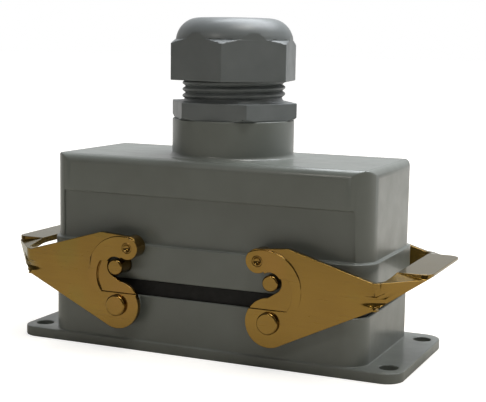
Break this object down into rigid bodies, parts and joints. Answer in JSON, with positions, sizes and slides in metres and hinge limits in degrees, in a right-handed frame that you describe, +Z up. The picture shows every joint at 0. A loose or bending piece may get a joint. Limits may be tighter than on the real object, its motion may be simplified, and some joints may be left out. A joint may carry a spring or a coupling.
{
  "type": "heavy duty rectangular connector",
  "caption": "Grey die-cast rectangular power connector on a flanged bulkhead base, locked by two gold steel levers, with a straight cable gland on top.",
  "frame": {"origin": "centre of the flange's underside, at the middle of the connector's box", "axes": "+Z up out of the panel towards the cable gland, +X along the connector's length, +Y across its width"},
  "size_m": [0.123, 0.0538, 0.0905],
  "materials": {
    "cast_grey": "semi-gloss",
    "gland_grey": "satin",
    "passivated_steel": "yellow passivated",
    "bright_steel": "bright",
    "black_rubber": "matt",
    "insert_plastic": "satin",
    "silver_brass": "silver plated",
    "white_nylon": "satin"
  },
  "bodies": {
    "housing": {"base_housing": "cast_grey", "flange_gasket": "black_rubber", "housing_seal": "black_rubber", "pivot_studs": "passivated_steel", "hood_housing": "cast_grey", "hood_pegs": "passivated_steel", "female_insert": "insert_plastic", "female_contacts": "silver_brass", "female_terminal_screws": "bright_steel", "female_earth_plates": "bright_steel", "female_fixing_screws": "bright_steel", "male_insert": "insert_plastic", "male_contacts": "silver_brass", "male_terminal_screws": "bright_steel", "male_earth_plates": "bright_steel", "male_fixing_screws": "bright_steel", "gland_body": "gland_grey", "gland_washer": "black_rubber", "clamping_cage": "white_nylon", "gland_grommet": "black_rubber"},
    "left_lever": {"lever_left": "passivated_steel", "hook_studs_left": "passivated_steel"},
    "right_lever": {"lever_right": "passivated_steel", "hook_studs_right": "passivated_steel"},
    "slip_washer": {"slip_ring": "white_nylon"},
    "clamping_nut": {"dome_nut": "gland_grey"}
  },
  "joints": [
    {"name": "left_lever_hinge", "type": "hinge", "parent": "housing", "child": "left_lever", "pos_m": [-0.0222, 0, 0.013], "axis": [0, -1, 0], "range_deg": [0, 33]},
    {"name": "right_lever_hinge", "type": "hinge", "parent": "housing", "child": "right_lever", "pos_m": [0.0222, 0, 0.013], "axis": [0, 1, 0], "range_deg": [0, 33]},
    {"name": "nut_advance", "type": "slide", "parent": "housing", "child": "slip_washer", "axis": [0, 0, -1], "range_m": [0, 0.00401]},
    {"name": "nut_turn", "type": "hinge", "parent": "slip_washer", "child": "clamping_nut", "pos_m": [0, 0, 0.083], "axis": [0, 0, -1], "range_deg": [0, 822]}
  ],
  "couplings": [
    {"joint": "nut_advance", "follows": "nut_turn", "m_per_rad": 0.00027852}
  ]
}
